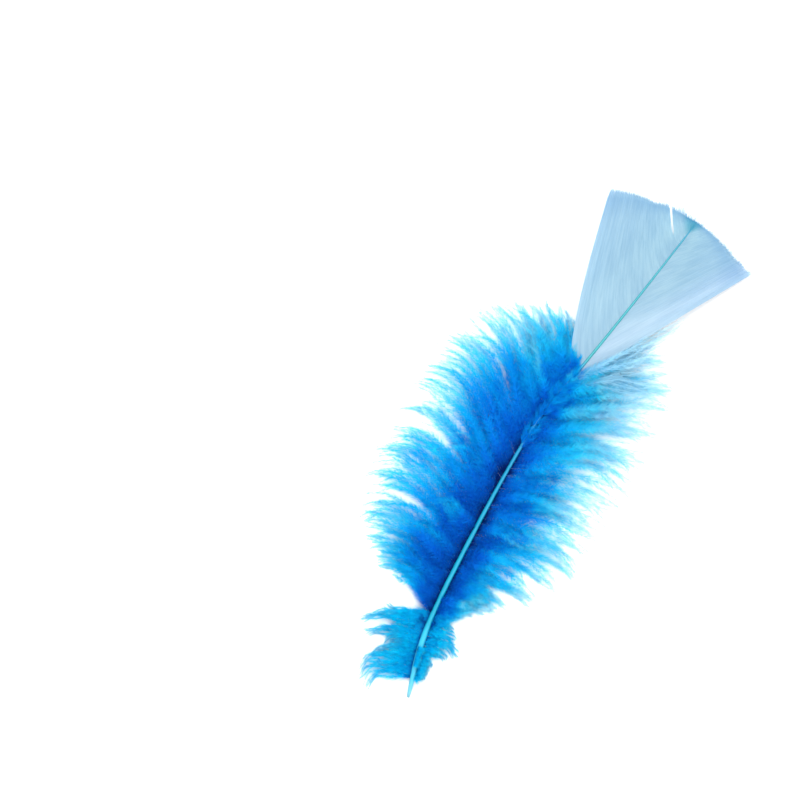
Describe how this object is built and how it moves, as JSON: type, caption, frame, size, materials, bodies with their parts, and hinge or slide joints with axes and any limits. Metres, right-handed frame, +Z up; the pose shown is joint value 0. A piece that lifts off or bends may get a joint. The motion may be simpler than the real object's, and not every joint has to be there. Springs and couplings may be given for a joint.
{
  "type": "dyed craft feather",
  "caption": "Soft plume lying flat: a bare quill end, a long fluffy downy lower part and a square-cut webbed vane at the tip.",
  "frame": {"origin": "middle of the feather's footprint, on the surface it lies on", "axes": "+Y along the quill from its bare end to the tip of the vane, +X to the right seen from above, +Z up"},
  "size_m": [0.0608, 0.145, 0.0066],
  "materials": {
    "quill_keratin": "satin",
    "vane_barbs": "matte",
    "down_barbs": "matte",
    "tuft_barbs": "matte"
  },
  "bodies": {
    "root": {"quill_shaft": "quill_keratin", "vane_left": "vane_barbs", "vane_right": "vane_barbs", "down_left": "down_barbs", "down_right": "down_barbs", "basal_tuft_left": "tuft_barbs", "basal_tuft_right": "tuft_barbs"}
  },
  "joints": []
}
